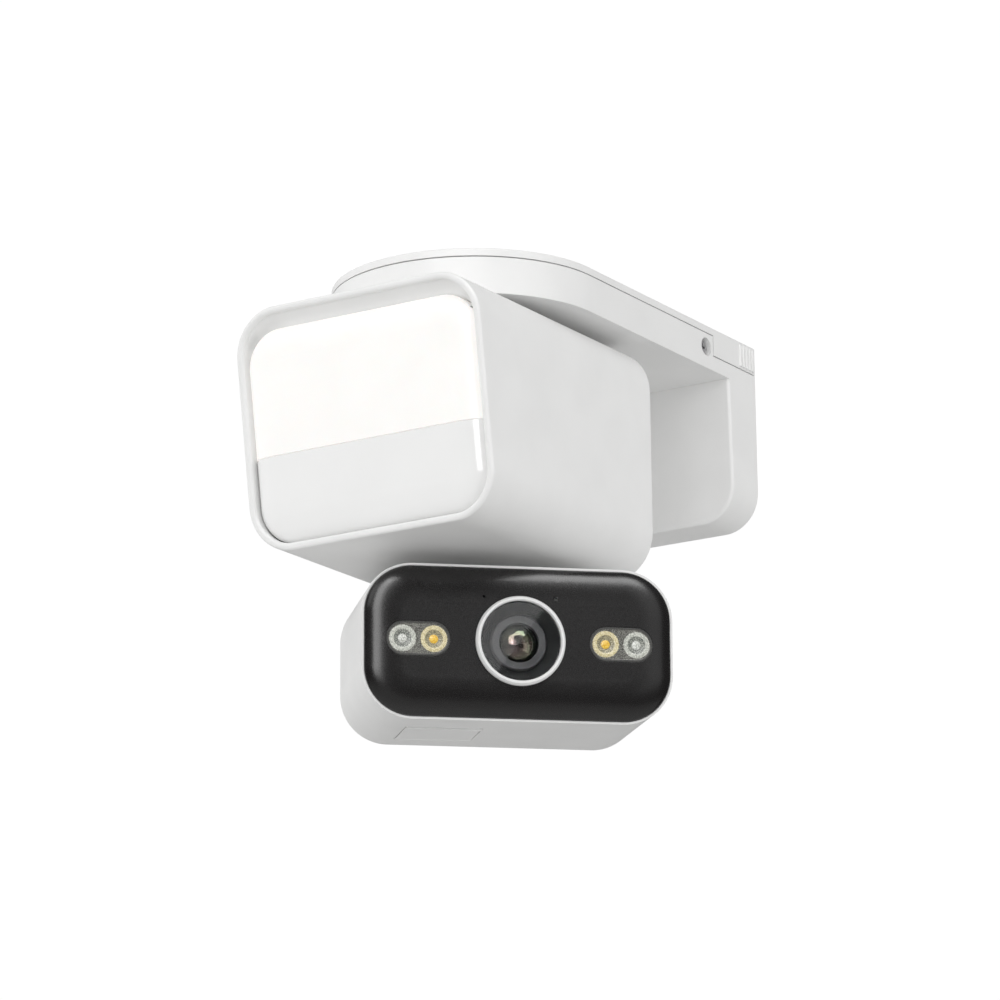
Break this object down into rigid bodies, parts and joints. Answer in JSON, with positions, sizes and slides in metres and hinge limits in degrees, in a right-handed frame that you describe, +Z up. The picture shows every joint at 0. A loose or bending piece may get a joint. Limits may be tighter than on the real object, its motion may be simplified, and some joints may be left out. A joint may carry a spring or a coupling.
{
  "type": "floodlight security camera",
  "caption": "Wall bracket with a swivelling floodlight box and, under it, a motorised pan and tilt camera head with spotlights; every piece separate, with joints.",
  "frame": {"origin": "centre of the four wall screw holes, on the wall face of the wall plate", "axes": "+X right as seen by a viewer facing the wall, +Y into the wall, +Z up; metres"},
  "size_m": [0.1217, 0.1952, 0.1662],
  "materials": {
    "white_shell": "satin, fine moulded texture",
    "white_gloss": "gloss",
    "opal_cover": "translucent opal, satin",
    "black_panel": "smooth semi-gloss",
    "black_plastic": "fine matt texture",
    "seal_rubber": "soft matt",
    "grey_rubber": "soft matt, pale",
    "clear_glass": "clear, polished",
    "clear_cover": "clear with a fine cross grid",
    "coated_lens": "polished with a coating tint",
    "reflector": "bright metallised",
    "steel": "zinc plated",
    "aluminium": "as extruded",
    "circuit": "solder mask, satin",
    "led_white": "clear dome over a white chip",
    "led_warm": "clear dome over a warm chip",
    "cell_wrap": "shrink wrap film",
    "gear_plastic": "natural acetal",
    "speaker_black": "matt cone and frame"
  },
  "bodies": {
    "bracket": {"wall_plate": "steel", "bracket_shell": "white_shell", "top_cover": "white_shell", "side_screws": "steel", "swivel_bush": "gear_plastic"},
    "light_body": {"light_shell": "white_shell", "swivel_spindle": "white_shell", "swivel_nut": "steel", "body_screws": "steel", "front_seal": "seal_rubber", "diffuser": "opal_cover", "sensor_panel": "white_gloss", "reflector_tray": "white_gloss", "led_board": "circuit", "led_chips": "led_white", "heat_sink": "aluminium", "motion_sensor": "black_plastic", "battery_cells": "cell_wrap", "battery_tray": "black_plastic", "main_board": "circuit", "speaker": "speaker_black", "rear_board": "circuit", "button_spring": "steel", "pan_bearing": "gear_plastic", "pan_motor": "steel"},
    "power_button": {"power_button": "white_gloss"},
    "port_flap": {"port_flap": "grey_rubber"},
    "pan_pinion": {"pan_pinion": "gear_plastic"},
    "pan_neck": {"neck_arm": "white_shell", "pan_gear": "gear_plastic", "pan_nut": "steel", "tilt_axle": "steel", "tilt_gear": "gear_plastic"},
    "camera_head": {"head_shell": "white_shell", "front_panel": "black_panel", "head_seal": "seal_rubber", "lens_ring": "white_shell", "lens_window": "clear_glass", "lens_well": "black_plastic", "lens_barrel": "black_plastic", "front_lens": "coated_lens", "rear_lenses": "coated_lens", "image_sensor": "circuit", "spot_windows": "clear_cover", "spot_reflectors": "reflector", "spot_boards": "circuit", "white_leds": "led_white", "warm_leds": "led_warm", "microphone": "black_plastic", "status_light_pipe": "clear_cover", "head_board": "circuit", "board_screws": "steel", "tilt_bushes": "gear_plastic", "tilt_motor": "steel", "card_reader": "circuit", "door_pin": "steel"},
    "tilt_pinion": {"tilt_pinion": "gear_plastic"},
    "card_door": {"card_door": "white_shell"},
    "reset_button": {"reset_button": "black_plastic"}
  },
  "joints": [
    {"name": "swivel", "type": "hinge", "parent": "bracket", "child": "light_body", "pos_m": [0, -0.1185, 0.023], "axis": [0, 0, 1], "range_deg": [-90, 90]},
    {"name": "pan", "type": "hinge", "parent": "light_body", "child": "pan_neck", "pos_m": [0, -0.1055, -0.06], "axis": [0, 0, 1], "range_deg": [-212.59, 127.41]},
    {"name": "pan_pinion_spin", "type": "hinge", "parent": "light_body", "child": "pan_pinion", "pos_m": [0.0291, -0.1055, -0.054], "axis": [0, 0, 1], "range_deg": [-402, 670]},
    {"name": "tilt", "type": "hinge", "parent": "pan_neck", "child": "camera_head", "pos_m": [0, -0.1055, -0.097], "axis": [0.7362, 0.6767, 0], "range_deg": [-5.37, 72.63]},
    {"name": "tilt_pinion_spin", "type": "hinge", "parent": "camera_head", "child": "tilt_pinion", "pos_m": [0.02257, -0.1005, -0.10959], "axis": [0.7362, 0.6767, 0], "range_deg": [-14, 176]},
    {"name": "power_press", "type": "slide", "parent": "light_body", "child": "power_button", "axis": [0, -1, 0], "range_m": [0, 0.0008], "stiffness_N_per_m": 600, "springref_m": -0.001, "deforming": ["button_spring"]},
    {"name": "flap_hinge", "type": "hinge", "parent": "light_body", "child": "port_flap", "pos_m": [0.029, -0.07883, 0.003], "axis": [-1, 0, 0], "range_deg": [0, 90]},
    {"name": "card_door_hinge", "type": "hinge", "parent": "camera_head", "child": "card_door", "pos_m": [-0.01496, -0.12322, -0.12314], "axis": [0.7362, 0.6767, 0], "range_deg": [0, 95]},
    {"name": "reset_press", "type": "slide", "parent": "camera_head", "child": "reset_button", "axis": [0.028, -0.0304, 0.9991], "range_m": [0, 0.0006], "stiffness_N_per_m": 400, "springref_m": -0.001}
  ],
  "couplings": [
    {"joint": "pan_pinion_spin", "follows": "pan", "ratio": -3.1429},
    {"joint": "tilt_pinion_spin", "follows": "tilt", "ratio": 2.4}
  ]
}
